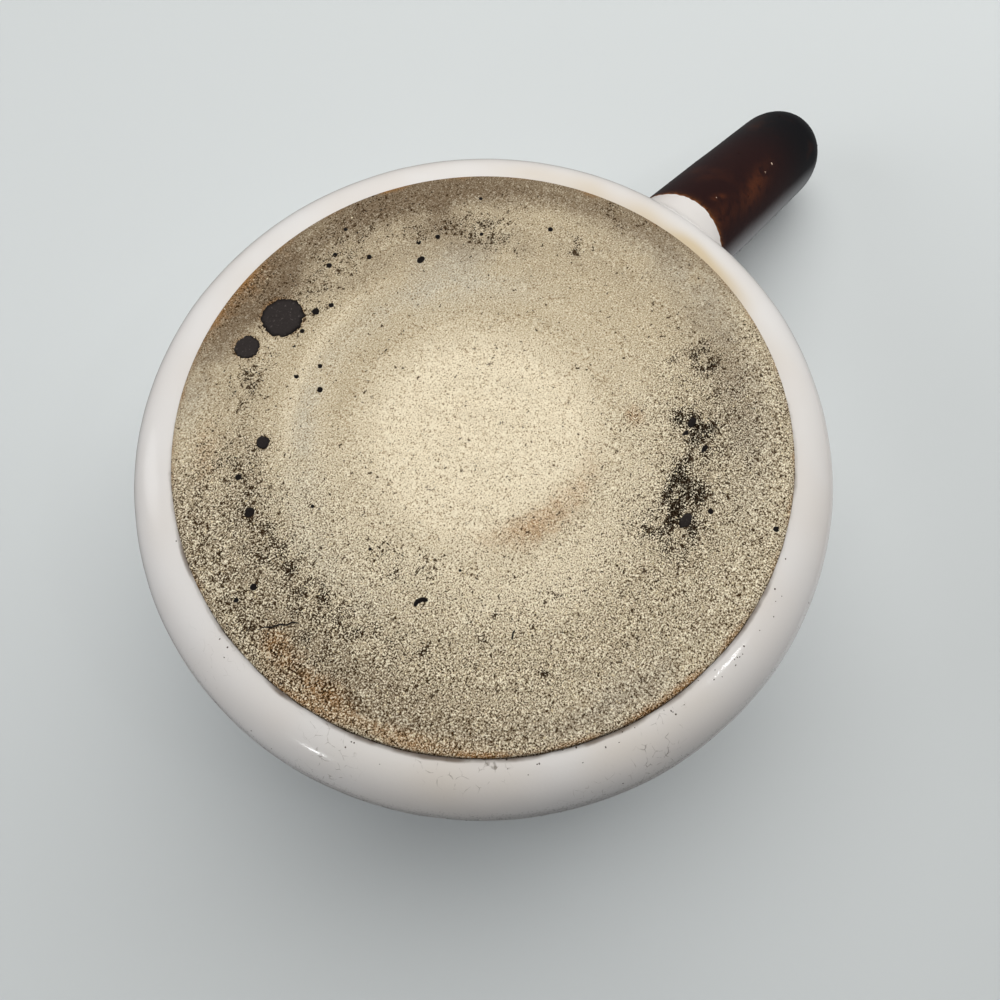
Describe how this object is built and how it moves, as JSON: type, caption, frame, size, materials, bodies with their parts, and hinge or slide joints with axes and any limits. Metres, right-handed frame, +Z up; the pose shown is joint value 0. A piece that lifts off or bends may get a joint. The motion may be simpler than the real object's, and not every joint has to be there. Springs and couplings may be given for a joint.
{
  "type": "ceramic fondue pot",
  "caption": "Round ceramic fondue pot with a flat bare clay foot, a bulging white-glazed wall and a stubby brown-glazed handle that slopes up.",
  "frame": {"origin": "centre of the bare clay foot, on the plane that the pot stands on", "axes": "+Z up through the mouth, +X along the handle's reach, +Y across"},
  "size_m": [0.3558, 0.235, 0.1],
  "materials": {
    "bare_clay": "unglazed",
    "slip": "unglazed",
    "white_glaze": "gloss",
    "lining_glaze": "gloss",
    "brown_glaze": "gloss"
  },
  "bodies": {
    "root": {"pot_body": "bare_clay", "outer_glaze": "white_glaze", "inner_glaze": "lining_glaze", "handle_core": "bare_clay", "luting_collar": "slip", "handle_glaze": "brown_glaze"}
  },
  "joints": []
}
